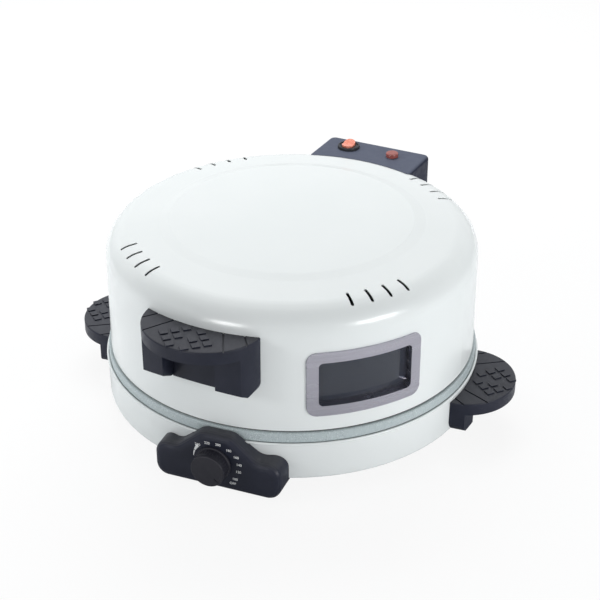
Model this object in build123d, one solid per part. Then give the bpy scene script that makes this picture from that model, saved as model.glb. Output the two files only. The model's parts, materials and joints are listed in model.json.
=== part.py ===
from build123d import *
from math import asin, atan2, cos, degrees, pi, radians, sin, sqrt, tan
import os

# Electric flatbread maker: a round pan base with a coated baking plate, and a domed lid on a rear hinge.
# Millimetres. The origin is on the table under the centre of the dome, +Z is up and -Y faces the lid handle.
# Directions around the dome are angles from -Y, positive towards +X.

# Heights above the table
FOOT_HEIGHT = 16.8
BASE_RIM_Z = 63.3
PLATE_RIM_Z = 74.5
LID_EDGE_Z = 76.0
LID_WALL_HEIGHT = 111.5

# Base pan
BASE_RADIUS = 214.5
BASE_WALL = 1.0
BASE_CORNER_RADIUS = 4.5
BASE_FLANGE_WIDTH = 22.0
RIM_BEAD_RADIUS = 1.5
BASE_CLOCK = 7.2
BOTTOM_PLATE_THICKNESS = 1.0
BOTTOM_VENT_COUNT = 16
BOTTOM_VENT_LENGTH = 26.0
BOTTOM_VENT_WIDTH = 5.0
BOTTOM_VENT_CIRCLE = 100.0

# Rubber feet
FOOT_COUNT = 4
FOOT_CIRCLE = 148.0
FOOT_RADIUS = 13.0
FOOT_TOP_RADIUS = 15.5
FOOT_EDGE_ROUND = 2.0
FOOT_SCREW_SEAT = 8.0

# Baking plate
PLATE_RADIUS = BASE_RADIUS - 1.5
PLATE_RIM_THICKNESS = 7.0
PLATE_FLOOR_THICKNESS = 4.5
PLATE_RING_RADIUS = 178.0
PLATE_RING_HEIGHT = 1.2
PLATE_RING_WIDTH = 4.0

# Heating elements and their reflectors
ELEMENT_RADIUS = 4.0
LOWER_ELEMENT_CIRCLE = 128.0
UPPER_ELEMENT_CIRCLE = 132.0
TERMINAL_OFFSET = 16.0
TERMINAL_CLOCK = 38.0
LOWER_LEG_END = BASE_RADIUS - 32.5
PIN_LENGTH = 9.0
TERMINAL_RADIUS = 2.2
LOWER_REFLECTOR_RADIUS = 170.0
LOWER_REFLECTOR_DROP = 14.0
LOWER_REFLECTOR_SLOPE = 14.0
REFLECTOR_RIM = 4.0
REFLECTOR_CLEARANCE = 3.0
REFLECTOR_THICKNESS = 0.6
UPPER_REFLECTOR_Z = 191.0
UPPER_ELEMENT_DROP = 9.0
UPPER_REFLECTOR_LIP = 10.0
UPPER_REFLECTOR_FLARE = 6.0
POST_RADIUS = 3.5
POST_COUNT = 4
LOWER_POST_CIRCLE = FOOT_CIRCLE - 20.0
UPPER_POST_CIRCLE = 105.0
UPPER_POST_CLOCK = 45.0
CLIP_COUNT = 5
CLIP_WIDTH = 10.0
CLIP_THICKNESS = 1.2
CLIP_FOOT = 9.0

# Lid dome
LID_RADIUS = BASE_RADIUS - 4.5
LID_TOP_WALL_RADIUS = LID_RADIUS - 1.3
LID_WALL = 1.0
LID_SHOULDER_RADIUS = 29.0
LID_CROWN_HEIGHT = 149.0
LID_DISC_RADIUS = 137.0
LID_DISC_EDGE_HEIGHT = 147.3
LID_STEP_RADIUS = 149.0
LID_STEP_HEIGHT = 144.6
LID_SHOULDER_HEIGHT = 137.0
LID_STEP_ROUND = 6.0
LID_HEM_WIDTH = 5.0
SEAL_THICKNESS = 1.0
SEAL_INSET = 0.4
UPPER_REFLECTOR_RADIUS = LID_RADIUS - 24.0
UPPER_LEG_END = LID_RADIUS - 50.0
WALL_CUT_NEAR = LID_RADIUS - 40.0
WALL_CUT_FAR = LID_RADIUS + 30.0

# Vent slots on the shoulder
VENT_CLOCK = 10.5
VENT_GROUPS = 4
VENTS_PER_GROUP = 4
VENT_PITCH = 6.55
VENT_CENTRE_RADIUS = LID_RADIUS - 24.0
VENT_LENGTH = 19.0
VENT_WIDTH = 3.5

# Viewing window in the lid wall
WINDOW_ANGLE = 49.1
WINDOW_CENTRE_HEIGHT = 55.8
WINDOW_WIDTH = 129.0
WINDOW_HEIGHT = 75.5
WINDOW_CORNER = 11.0
WINDOW_BORDER = 12.0
WINDOW_INNER_CORNER = 5.0
FRAME_PROUD = 1.8
FRAME_LIP = 1.6
FRAME_LIP_DEPTH = 8.0
GLASS_THICKNESS = 3.2
GLASS_OVERLAP = 7.0
RETAINER_THICKNESS = 1.0
RETAINER_MARGIN = 6.0

# Handles: one on the lid and two on the base
LID_HANDLE_REACH = LID_RADIUS + 47.0
LID_HANDLE_HALF_WIDTH = 66.5
LID_HANDLE_DEPTH = 60.0
LID_HANDLE_TOP = 111.4
LID_HANDLE_HEIGHT = 66.5
LID_LEG_INNER = 31.0
SIDE_HANDLE_REACH = BASE_RADIUS + 50.5
SIDE_HANDLE_HALF_WIDTH = 60.0
SIDE_HANDLE_DEPTH = 57.0
SIDE_HANDLE_TOP_Z = 56.5
SIDE_HANDLE_HEIGHT = 40.0
SIDE_LEG_INNER = 35.0
HANDLE_PLATE = 4.0
HANDLE_SKIRT = 14.5
HANDLE_WALL = 3.2
HANDLE_EDGE_ROUND = 1.6
APRON_DEPTH = 2.5
LID_LEG_DEPTH = 23.0
SIDE_LEG_DEPTH = 16.0
LID_LEG_SLOPE = 28.0
SIDE_LEG_SLOPE = 15.0
LEG_REACH = 60.0
LEG_OUTER_CORNER = 15.0
LEG_INNER_CORNER = 4.0
LEG_SCREW_INSET = 12.0
PAD_SIZE = 8.2
PAD_HEIGHT = 1.4
PAD_PITCH = 12.1
PAD_GRID = 4
PAD_CENTRE_INSET = 23.0
GROOVE_WIDTH = 1.8
GROOVE_DEPTH = 1.4
GROOVE_INNER = ((28.5, 50.5), (47.5, 17.0))
GROOVE_OUTER = ((49.5, 56.0), (62.5, 38.5))

# Control panel on the base wall
PANEL_CLOCK = 5.7
PANEL_FACE = BASE_RADIUS + 14.5
PANEL_TUCK = BASE_RADIUS - 32.0
PANEL_HALF_WIDTH = 72.0
PANEL_SHIFT = 3.6
PANEL_WALL = 2.6
PANEL_BOTTOM_Z = 5.5
PANEL_SHOULDER_Z = 49.5
PANEL_HUMP_Z = 73.0
PANEL_HUMP_HALF_WIDTH = 17.0
PANEL_HUMP_FOOT = 46.0
PANEL_CORNER = 15.0
PANEL_EDGE_ROUND = 7.0
PANEL_EDGE_STEPS = 4
PANEL_BOSS_RADIUS = 5.0
PANEL_SCREW_SPREAD = 52.0
PANEL_WAIST_RADIUS = 16.0
PANEL_HUMP_RADIUS = 16.0
PANEL_SHOULDER_DROP = 1.5

# Dial, thermostat and its shaft
DIAL_OFFSET = 1.6
DIAL_Z = 38.5
DIAL_RADIUS = 20.0
DIAL_FACE_RADIUS = 18.9
DIAL_LENGTH = 17.0
DIAL_GAP = 0.6
DIAL_GRIPS = 36
DIAL_GRIP_RADIUS = 0.6
DIAL_MARK_TURN = 42.0
DIAL_FRONT_WALL = 3.0
SHAFT_RADIUS = 3.0
SHAFT_FLAT = 1.0
SHAFT_RUN = 0.05
BUSH_RADIUS = 4.5
BUSH_LENGTH = 9.0
NUT_WIDTH = 14.0
NUT_THICKNESS = 3.0
THERMOSTAT_WIDTH = 32.0
THERMOSTAT_HEIGHT = 23.0
THERMOSTAT_DEPTH = 26.0
THERMOSTAT_STANDOFF = 3.0
SHAFT_BACK = 14.0

# Rear hinge
HINGE_Y = BASE_RADIUS + 29.5
HINGE_Z = 78.0
KNUCKLE_RADIUS = 7.0
KNUCKLE_LENGTH = 13.5
KNUCKLE_GAP = 0.5
HINGE_PITCH = 14.0
HINGE_FIRST = 12.0
PIN_RADIUS = 4.0
PIN_RUN = 0.05
PIN_HEAD_RADIUS = 6.0
PIN_HEAD_THICKNESS = 2.5
PIN_GROOVE_WIDTH = 1.2
PIN_GROOVE_DEPTH = 0.8
ARM_THICKNESS = 3.0
BRACKET_THICKNESS = 2.0
ARM_ROOT_BITE = 0.7
ARM_TIP_OFFSET = 6.0
ARM_SLOT_CLEARANCE = 0.6
BRACKET_HALF_WIDTH = 42.0
BRACKET_SCREW_X = 33.0
LID_BRACKET_RISE = 10.0
LID_BRACKET_HEIGHT = 36.0
LID_BRACKET_SCREW_RISE = 32.0
BASE_BRACKET_DROP = 11.0
NOTCH_CLEARANCE = 1.5

# Rear housings
HOUSING_HALF_WIDTH = 67.0
HOUSING_REAR = BASE_RADIUS + 26.5
HOUSING_NEAR = 120.0
HOUSING_TOP_Z = 216.0
HOUSING_BOTTOM_Z = 9.0
HOUSING_WALL = 2.5
HOUSING_ROUND = 4.0
HOUSING_CORNER = 8.0
SPLIT_GAP = 1.0
HOUSING_SCREW_X = 52.0
SWITCH_SCREW_DROP = 60.0
BASE_SCREW_RISE = 24.0

# Power switch and pilot lamp on the rear housing
SWITCH_X = -32.7
SWITCH_Y = HOUSING_REAR - 24.0
SWITCH_BODY_RADIUS = 11.4
SWITCH_BODY_DEPTH = 20.0
BEZEL_RADIUS = 13.6
BEZEL_HEIGHT = 3.2
BEZEL_WALL = 2.4
ROCKER_WIDTH = 14.4
ROCKER_LENGTH = 18.4
ROCKER_RISE = 5.4
ROCKER_TILT = 8.0
ROCKER_GAP = 0.6
ROCKER_CORNER = 6.6
ROCKER_DROP = 7.0
ROCKER_PIVOT_DEPTH = 2.0
LAMP_X = 26.8
LAMP_Y = HOUSING_REAR - 25.7
LAMP_RADIUS = 7.6
LAMP_HEIGHT = 5.0
LAMP_BODY_RADIUS = 5.0
LAMP_BODY_DEPTH = 18.0

# Mains inlet
GLAND_Z = 40.0
GLAND_BORE = 3.8
GLAND_THREAD_RADIUS = 7.5
GLAND_HEAD_RADIUS = 10.5
GLAND_NUT_RADIUS = 11.5
GLAND_NUT_THICKNESS = 4.0
GLAND_LENGTH = 16.0

# Wiring inside the base and the lid
LEAD_RADIUS = 2.2
LEAD_CIRCLE = BASE_RADIUS - 22.5
LEAD_BEND = 4.0
LEAD_HOLE_CLEARANCE = 1.2
LID_LEAD_OFFSET = 6.0
LID_LEAD_REACH = LID_RADIUS - 32.0
LID_LEAD_DROP = 17.0
LEAD_CLIP_COUNT = 3
BLOCK_NEAR = BASE_RADIUS - 34.5
BLOCK_LENGTH = 40.0
BLOCK_WIDTH = 15.0
BLOCK_HEIGHT = 14.0

# Fasteners and fits
SCREW_RADIUS = 2.0
SCREW_HEAD_RADIUS = 3.8
SCREW_HEAD_HEIGHT = 2.2
PANEL_SCREW_LENGTH = 16.0
HANDLE_SCREW_LENGTH = 12.0
HANDLE_HOLE_REACH = 7.0
SIDE_SCREW_DROP = 4.0
BRACKET_SCREW_LENGTH = 12.0
SEAT_GAP = 0.1
COVER_GAP = 0.3

LID_HANDLE_TOP_Z = LID_EDGE_Z + LID_HANDLE_TOP
BASE_INNER_RADIUS = BASE_RADIUS - BASE_WALL
BOTTOM_PLATE_Z = FOOT_HEIGHT + BASE_WALL + SEAT_GAP
BOTTOM_PLATE_TOP_Z = BOTTOM_PLATE_Z + BOTTOM_PLATE_THICKNESS
LEAD_Z = BOTTOM_PLATE_TOP_Z + 6.0
ELEMENT_LEAD_Z = BOTTOM_PLATE_TOP_Z + 12.0
PLATE_UNDER_Z = BASE_RIM_Z + SEAT_GAP
PLATE_FLOOR_Z = PLATE_UNDER_Z + PLATE_FLOOR_THICKNESS
LOWER_ELEMENT_Z = PLATE_UNDER_Z - COVER_GAP - ELEMENT_RADIUS
UPPER_ELEMENT_Z = UPPER_REFLECTOR_Z - UPPER_ELEMENT_DROP
WINDOW_Z = LID_EDGE_Z + WINDOW_CENTRE_HEIGHT
OUTLINE_SPAN = 2 * max(SIDE_HANDLE_REACH, LID_HANDLE_REACH) + 60.0


def around(angle, shape):
    return Rot(0, 0, angle) * shape


def disc(radius, z_low, z_high):
    return Pos(0, 0, z_low) * Cylinder(radius, z_high - z_low, align=(Align.CENTER, Align.CENTER, Align.MIN))


def ring(outer, inner, z_low, z_high):
    return disc(outer, z_low, z_high) - disc(inner, z_low - 1, z_high + 1)


def block(x, y, z):
    size = (x[1] - x[0], y[1] - y[0], z[1] - z[0])
    centre = ((x[0] + x[1]) / 2, (y[0] + y[1]) / 2, (z[0] + z[1]) / 2)
    return Pos(*centre) * Box(*size)


def spun(*points):
    return revolve(Plane.XZ * make_face(Polyline(*points, close=True)), Axis.Z)


def outward_rod(radius, near, far, x=0.0, z=0.0):
    rod = Cylinder(radius, far - near, align=(Align.CENTER, Align.CENTER, Align.MIN))
    return Pos(x, -near, z) * Rot(90, 0, 0) * rod


def outward_prism(sketch, near, far):
    return extrude(Plane((0, -near, 0), x_dir=(1, 0, 0), z_dir=(0, -1, 0)) * sketch, far - near)


def cross_rod(radius, x_low, x_high, y=HINGE_Y, z=HINGE_Z):
    rod = Cylinder(radius, x_high - x_low, align=(Align.CENTER, Align.CENTER, Align.MIN))
    return Pos(x_low, y, z) * Rot(0, 90, 0) * rod


def outward_screw(near, far, x, z):
    head = outward_rod(SCREW_HEAD_RADIUS, near - SCREW_HEAD_HEIGHT, near, x, z)
    head = head - outward_prism(Pos(x, z) * Rectangle(5.0, 1.0), near - SCREW_HEAD_HEIGHT, near - 1.2)
    return head + outward_rod(SCREW_RADIUS, near, far, x, z)


def place(angle, reach, z, x=0.0):
    turn = radians(angle)
    return (x * cos(turn) + reach * sin(turn), x * sin(turn) - reach * cos(turn), z)


def solids_of(shapes):
    return Compound(children=[solid for shape in shapes for solid in shape.solids()])


def bent_tube(radius, points, bends):
    path = FilletPolyline(*points, radius=bends)
    start = Plane(origin=path @ 0, z_dir=path % 0)
    return sweep(start * Circle(radius), path=path)


# Lid outline, shared by the dome, its fittings and their clearances
def lid_wall_radius(z):
    taper = (LID_RADIUS - LID_TOP_WALL_RADIUS) / LID_WALL_HEIGHT
    return LID_RADIUS - taper * (z - LID_EDGE_Z)


def lid_body(inset, z_low):
    shoulder_z = LID_EDGE_Z + LID_SHOULDER_HEIGHT
    line = FilletPolyline(
        (0, LID_EDGE_Z + LID_CROWN_HEIGHT - inset),
        (LID_DISC_RADIUS, LID_EDGE_Z + LID_DISC_EDGE_HEIGHT - inset),
        (LID_STEP_RADIUS, LID_EDGE_Z + LID_STEP_HEIGHT - inset),
        (lid_wall_radius(shoulder_z) - inset, shoulder_z - inset),
        (lid_wall_radius(z_low) - inset, z_low),
        radius=(LID_STEP_ROUND, LID_STEP_ROUND, LID_SHOULDER_RADIUS - inset),
    )
    closing = Polyline((lid_wall_radius(z_low) - inset, z_low), (0, z_low), line @ 0)
    return revolve(Plane.XZ * make_face(line + closing), Axis.Z)


def wall_layer(inner, outer, z_low, z_high):
    return spun(
        (lid_wall_radius(z_low) + inner, z_low),
        (lid_wall_radius(z_low) + outer, z_low),
        (lid_wall_radius(z_high) + outer, z_high),
        (lid_wall_radius(z_high) + inner, z_high),
    )


def base_body(gap, z_low=0.0):
    wall = disc(BASE_RADIUS + gap, z_low, LID_EDGE_Z + LID_WALL_HEIGHT)
    bead_low = BASE_RIM_Z - 2 * RIM_BEAD_RADIUS
    return wall + disc(BASE_RADIUS + RIM_BEAD_RADIUS + gap, bead_low - gap, BASE_RIM_Z + gap)


# Base pan, floor and feet
def make_base_shell():
    floor_z = FOOT_HEIGHT
    top_z = BASE_RIM_Z - RIM_BEAD_RADIUS
    inner = BASE_INNER_RADIUS
    bore = inner - BASE_FLANGE_WIDTH
    outer_line = FilletPolyline(
        (bore, floor_z), (BASE_RADIUS, floor_z), (BASE_RADIUS, top_z), radius=BASE_CORNER_RADIUS
    )
    inner_line = FilletPolyline(
        (inner, top_z),
        (inner, floor_z + BASE_WALL),
        (bore, floor_z + BASE_WALL),
        radius=BASE_CORNER_RADIUS - BASE_WALL,
    )
    ends = Line((BASE_RADIUS, top_z), (inner, top_z)) + Line((bore, floor_z + BASE_WALL), (bore, floor_z))
    shell = revolve(Plane.XZ * make_face(outer_line + inner_line + ends), Axis.Z)
    shell = shell + Pos(0, 0, top_z) * Torus(BASE_RADIUS, RIM_BEAD_RADIUS)
    places = [(PANEL_CLOCK, BUSH_RADIUS + 0.2, DIAL_OFFSET, DIAL_Z), (180, GLAND_THREAD_RADIUS, 0, GLAND_Z)]
    places += [(PANEL_CLOCK, SCREW_RADIUS, x, DIAL_Z) for x in panel_screw_places()]
    places += [(180, SCREW_RADIUS, x, GLAND_Z) for x in hinge_screw_places()]
    for angle in side_handle_angles():
        places += [(angle, SCREW_RADIUS, x, side_screw_z()) for x in side_screw_places()]
    near = BASE_RADIUS - 30
    far = BASE_RADIUS + 5
    return shell - [around(angle, outward_rod(radius, near, far, x, z)) for angle, radius, x, z in places]


def make_bottom_plate():
    plate = disc(BASE_INNER_RADIUS - BASE_CORNER_RADIUS, BOTTOM_PLATE_Z, BOTTOM_PLATE_TOP_Z)
    slot = extrude(SlotOverall(BOTTOM_VENT_LENGTH, BOTTOM_VENT_WIDTH), 6.0, both=True)
    slot = Pos(0, BOTTOM_VENT_CIRCLE, BOTTOM_PLATE_Z) * Rot(0, 0, 90) * slot
    hole = Pos(0, -FOOT_CIRCLE, BOTTOM_PLATE_Z) * Cylinder(SCREW_RADIUS, 10)
    cuts = [around(360.0 / BOTTOM_VENT_COUNT * (index + 0.5), slot) for index in range(BOTTOM_VENT_COUNT)]
    return plate - cuts - [around(angle, hole) for angle in foot_angles()]


def foot_angles():
    return [BASE_CLOCK + 360.0 / FOOT_COUNT * (index + 0.5) for index in range(FOOT_COUNT)]


def make_foot(angle):
    top_z = BOTTOM_PLATE_Z - SEAT_GAP
    foot = spun((0, 0), (FOOT_RADIUS, 0), (FOOT_TOP_RADIUS, top_z), (0, top_z))
    foot = fillet(foot.edges().group_by(Axis.Z)[0], FOOT_EDGE_ROUND)
    seat = FOOT_SCREW_SEAT
    foot = foot - disc(SCREW_HEAD_RADIUS + 1.0, -1, seat) - disc(SCREW_RADIUS, seat - 1, top_z + 1)
    return around(angle, Pos(0, -FOOT_CIRCLE, 0) * foot)


def make_foot_screws():
    seat = FOOT_SCREW_SEAT
    screw = disc(SCREW_HEAD_RADIUS, seat - SCREW_HEAD_HEIGHT, seat)
    screw = screw + disc(SCREW_RADIUS, seat, BOTTOM_PLATE_TOP_Z + 4)
    return solids_of([around(angle, Pos(0, -FOOT_CIRCLE, 0) * screw) for angle in foot_angles()])


# Baking plate with its speckled rim
def make_baking_plate():
    inner = PLATE_RADIUS - PLATE_RIM_THICKNESS
    blank = disc(PLATE_RADIUS, PLATE_UNDER_Z, PLATE_RIM_Z)
    blank = fillet(blank.edges().group_by(Axis.Z)[-1], 1.2)
    pocket = disc(inner, PLATE_FLOOR_Z, PLATE_RIM_Z + 1)
    pocket = fillet(pocket.edges().group_by(Axis.Z)[0], 3.0)
    ridge = ring(
        PLATE_RING_RADIUS,
        PLATE_RING_RADIUS - PLATE_RING_WIDTH,
        PLATE_FLOOR_Z - 0.5,
        PLATE_FLOOR_Z + PLATE_RING_HEIGHT,
    )
    return blank - pocket + ridge


# Heating elements
def element_loop(circle, z, gap_half_width, leg_end):
    start_y = sqrt(circle**2 - gap_half_width**2)
    turn = degrees(asin(gap_half_width / circle))
    arc = CenterArc((0, 0), circle, 270 + turn, 360 - 2 * turn)
    legs = (
        Line((gap_half_width, -leg_end), (gap_half_width, -start_y)),
        Line((-gap_half_width, -start_y), (-gap_half_width, -leg_end)),
    )
    loop = Curve() + legs[0] + arc + legs[1]
    wire = Wire(loop.edges())
    corners = [v for v in wire.vertices() if abs(v.Y + start_y) < 0.1]
    wire = wire.fillet_2d(3 * ELEMENT_RADIUS, corners)
    return Pos(0, 0, z) * wire


def element_tube(wire):
    start = Plane(origin=wire @ 0, z_dir=wire % 0)
    return sweep(start * Circle(ELEMENT_RADIUS), path=wire)


def make_lower_element():
    wire = element_loop(LOWER_ELEMENT_CIRCLE, LOWER_ELEMENT_Z, TERMINAL_OFFSET, LOWER_LEG_END)
    return around(lower_terminal_angle(), element_tube(wire))


def lower_terminal_angle():
    return BASE_CLOCK + TERMINAL_CLOCK


def upper_terminal_angle():
    return 180.0 - degrees(atan2(SWITCH_X, SWITCH_Y))


def make_upper_element():
    wire = element_loop(UPPER_ELEMENT_CIRCLE, UPPER_ELEMENT_Z, TERMINAL_OFFSET, UPPER_LEG_END)
    return around(upper_terminal_angle(), element_tube(wire))


def clip_angles(first):
    return [first + 360.0 / CLIP_COUNT * (index + 0.5) for index in range(CLIP_COUNT)]


def saddle(circle, element_z, seat_z):
    reach = ELEMENT_RADIUS + SEAT_GAP
    side = 1.0 if seat_z > element_z else -1.0
    outer = reach + CLIP_THICKNESS
    low = element_z - side * outer
    body = block((-CLIP_WIDTH / 2, CLIP_WIDTH / 2), (-outer, outer), sorted((low, seat_z)))
    hollow = block((-CLIP_WIDTH, CLIP_WIDTH), (-reach, reach), sorted((element_z, seat_z + side)))
    body = body - hollow - Pos(0, 0, element_z) * Rot(0, 90, 0) * Cylinder(reach, 2 * CLIP_WIDTH)
    flat = sorted((seat_z, seat_z - side * CLIP_THICKNESS))
    feet = block((-CLIP_WIDTH / 2, CLIP_WIDTH / 2), (-outer - CLIP_FOOT, outer + CLIP_FOOT), flat)
    feet = feet - block((-CLIP_WIDTH, CLIP_WIDTH), (-reach, reach), (seat_z - 5, seat_z + 5))
    return Pos(0, -circle, 0) * (body + feet)


def make_lower_clips():
    seat = PLATE_UNDER_Z - SEAT_GAP
    clip = saddle(LOWER_ELEMENT_CIRCLE, LOWER_ELEMENT_Z, seat)
    return solids_of([around(angle, clip) for angle in clip_angles(lower_terminal_angle())])


def make_upper_clips():
    seat = UPPER_REFLECTOR_Z - SEAT_GAP
    clip = saddle(UPPER_ELEMENT_CIRCLE, UPPER_ELEMENT_Z, seat)
    return solids_of([around(angle, clip) for angle in clip_angles(upper_terminal_angle())])


# Reflectors and the posts that carry them
def make_lower_reflector():
    thickness = REFLECTOR_THICKNESS
    floor_z = lower_reflector_z()
    rim_z = floor_z + LOWER_REFLECTOR_DROP
    outer = LOWER_REFLECTOR_RADIUS
    floor_edge = outer - LOWER_REFLECTOR_SLOPE
    return spun(
        (0, floor_z),
        (floor_edge, floor_z),
        (outer, rim_z),
        (outer + REFLECTOR_RIM, rim_z),
        (outer + REFLECTOR_RIM, rim_z + thickness),
        (outer - thickness, rim_z + thickness),
        (floor_edge - thickness, floor_z + thickness),
        (0, floor_z + thickness),
    )


def lower_reflector_z():
    return LOWER_ELEMENT_Z - ELEMENT_RADIUS - REFLECTOR_CLEARANCE - LOWER_REFLECTOR_DROP


def make_lower_posts():
    post = disc(POST_RADIUS, BOTTOM_PLATE_TOP_Z, lower_reflector_z() - SEAT_GAP)
    angles = [BASE_CLOCK + 360.0 / POST_COUNT * index for index in range(POST_COUNT)]
    return solids_of([around(angle, Pos(0, -LOWER_POST_CIRCLE, 0) * post) for angle in angles])


def make_upper_reflector():
    low = UPPER_REFLECTOR_Z
    outer = UPPER_REFLECTOR_RADIUS
    thickness = REFLECTOR_THICKNESS
    sheet = spun(
        (0, low),
        (outer, low),
        (outer + UPPER_REFLECTOR_FLARE, low - UPPER_REFLECTOR_LIP),
        (outer + UPPER_REFLECTOR_FLARE + 0.9, low - UPPER_REFLECTOR_LIP),
        (outer + thickness, low + thickness),
        (0, low + thickness),
    )
    hole = Cylinder(LEAD_RADIUS + LEAD_HOLE_CLEARANCE, 20)
    places = [place(upper_terminal_angle(), LID_LEAD_REACH, low, side * TERMINAL_OFFSET) for side in (-1, 1)]
    return sheet - [Pos(*at) * hole for at in places]


def make_upper_posts():
    post = disc(POST_RADIUS, UPPER_REFLECTOR_Z + REFLECTOR_THICKNESS, LID_EDGE_Z + LID_CROWN_HEIGHT + 5)
    angles = [UPPER_POST_CLOCK + 360.0 / POST_COUNT * index for index in range(POST_COUNT)]
    inner_dome = lid_body(LID_WALL + SEAT_GAP, LID_EDGE_Z)
    return solids_of([around(angle, Pos(0, -UPPER_POST_CIRCLE, 0) * post) & inner_dome for angle in angles])


# Element terminals
def make_terminals(angle, end, z):
    pins = []
    for x in (-TERMINAL_OFFSET, TERMINAL_OFFSET):
        pin = outward_rod(TERMINAL_RADIUS, end, end + PIN_LENGTH, x, z)
        collar = outward_rod(ELEMENT_RADIUS - 0.8, end, end + 3, x, z)
        pins.append(around(angle, pin + collar))
    return solids_of(pins)


# Lid dome with its vents and openings
def window_prism(width, height, corner):
    sketch = Pos(0, WINDOW_Z) * RectangleRounded(width, height, corner)
    return around(WINDOW_ANGLE, outward_prism(sketch, WALL_CUT_NEAR, WALL_CUT_FAR))


def vent_angles():
    angles = []
    for group in range(VENT_GROUPS):
        centre = VENT_CLOCK + 45.0 + 360.0 / VENT_GROUPS * group
        for index in range(VENTS_PER_GROUP):
            angles.append(centre + VENT_PITCH * (index - (VENTS_PER_GROUP - 1) / 2))
    return angles


def make_lid_shell():
    shell = lid_body(0, LID_EDGE_Z) - lid_body(LID_WALL, LID_EDGE_Z - 1)
    hem_inner = LID_RADIUS - LID_WALL - LID_HEM_WIDTH
    shell = shell + ring(LID_RADIUS - LID_WALL / 2, hem_inner, LID_EDGE_Z, LID_EDGE_Z + LID_WALL)
    slot = extrude(Rot(0, 0, 90) * SlotOverall(VENT_LENGTH, VENT_WIDTH), 30.0)
    slot = Pos(0, -VENT_CENTRE_RADIUS, LID_EDGE_Z + LID_WALL_HEIGHT) * slot
    cuts = [around(angle, slot) for angle in vent_angles()]
    width = WINDOW_WIDTH - WINDOW_BORDER
    height = WINDOW_HEIGHT - WINDOW_BORDER
    corner = WINDOW_INNER_CORNER + WINDOW_BORDER / 2
    cuts.append(window_prism(width, height, corner))
    places = [(0, SCREW_RADIUS, x, lid_screw_z()) for x in lid_screw_places()]
    places += [(180, SCREW_RADIUS, x, lid_bracket_z()) for x in hinge_screw_places()]
    lead_hole = LEAD_RADIUS + LEAD_HOLE_CLEARANCE
    places += [(upper_terminal_angle(), lead_hole, side * LID_LEAD_OFFSET, lid_lead_z()) for side in (-1, 1)]
    near = LID_RADIUS - 30
    far = LID_RADIUS + 5
    cuts += [around(angle, outward_rod(radius, near, far, x, z)) for angle, radius, x, z in places]
    return shell - cuts


def make_lid_seal():
    inner = LID_RADIUS - LID_WALL - LID_HEM_WIDTH + SEAL_INSET
    top = LID_EDGE_Z - SEAT_GAP
    return ring(LID_RADIUS - SEAL_INSET, inner, top - SEAL_THICKNESS, top)


# Viewing window
def make_window_frame():
    opening = (WINDOW_WIDTH - 2 * WINDOW_BORDER, WINDOW_HEIGHT - 2 * WINDOW_BORDER)
    z_low = WINDOW_Z - WINDOW_HEIGHT
    z_high = WINDOW_Z + WINDOW_HEIGHT
    face = wall_layer(SEAT_GAP, FRAME_PROUD, z_low, z_high)
    face = face & window_prism(WINDOW_WIDTH, WINDOW_HEIGHT, WINDOW_CORNER)
    lip = wall_layer(-FRAME_LIP_DEPTH, FRAME_PROUD, z_low, z_high)
    lip_width = opening[0] + 2 * FRAME_LIP
    lip_height = opening[1] + 2 * FRAME_LIP
    lip = lip & window_prism(lip_width, lip_height, WINDOW_INNER_CORNER + FRAME_LIP)
    return face + lip - window_prism(opening[0], opening[1], WINDOW_INNER_CORNER)


def glass_size():
    width = WINDOW_WIDTH - 2 * WINDOW_BORDER + 2 * GLASS_OVERLAP
    height = WINDOW_HEIGHT - 2 * WINDOW_BORDER + 2 * GLASS_OVERLAP
    return width, height


def glass_outer():
    return -FRAME_LIP_DEPTH - SEAT_GAP


def make_window_glass():
    width, height = glass_size()
    pane = wall_layer(glass_outer() - GLASS_THICKNESS, glass_outer(), WINDOW_Z - height, WINDOW_Z + height)
    return pane & window_prism(width, height, WINDOW_INNER_CORNER)


def make_window_gasket():
    width, height = glass_size()
    outer = -LID_WALL - SEAT_GAP
    band = wall_layer(glass_outer() + SEAT_GAP, outer, WINDOW_Z - height, WINDOW_Z + height)
    band = band & window_prism(width, height, WINDOW_INNER_CORNER)
    inner_width = WINDOW_WIDTH - 2 * WINDOW_BORDER + 2 * FRAME_LIP + 2 * SEAT_GAP
    inner_height = WINDOW_HEIGHT - 2 * WINDOW_BORDER + 2 * FRAME_LIP + 2 * SEAT_GAP
    return band - window_prism(inner_width, inner_height, WINDOW_INNER_CORNER + FRAME_LIP)


def make_window_retainer():
    width, height = glass_size()
    back = glass_outer() - GLASS_THICKNESS - SEAT_GAP
    z_low = WINDOW_Z - height
    z_high = WINDOW_Z + height
    outer_width = width + 2 * RETAINER_MARGIN
    outer_height = height + 2 * RETAINER_MARGIN
    ledge = wall_layer(back - RETAINER_THICKNESS, back, z_low, z_high)
    ledge = ledge & window_prism(outer_width, outer_height, WINDOW_INNER_CORNER + RETAINER_MARGIN)
    skirt = wall_layer(back - RETAINER_THICKNESS, -LID_WALL - SEAT_GAP, z_low, z_high)
    skirt = skirt & window_prism(outer_width, outer_height, WINDOW_INNER_CORNER + RETAINER_MARGIN)
    inner_width = outer_width - 2 * RETAINER_THICKNESS
    inner_height = outer_height - 2 * RETAINER_THICKNESS
    skirt = skirt - window_prism(inner_width, inner_height, WINDOW_INNER_CORNER + 3.0)
    open_width = width - 2 * GLASS_OVERLAP
    open_height = height - 2 * GLASS_OVERLAP
    opening = window_prism(open_width, open_height, WINDOW_INNER_CORNER)
    return ledge - opening + skirt


# Handles
def handle_outline(half_width, depth, reach):
    centre_y = reach - depth
    oval = Pos(0, -centre_y) * Ellipse(half_width, depth)
    lower = Pos(0, -centre_y) * Rectangle(2 * half_width, 2 * depth, align=(Align.CENTER, Align.MAX))
    upper = Pos(0, -centre_y) * Rectangle(2 * half_width, 40, align=(Align.CENTER, Align.MIN))
    return (oval & lower) + upper


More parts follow.
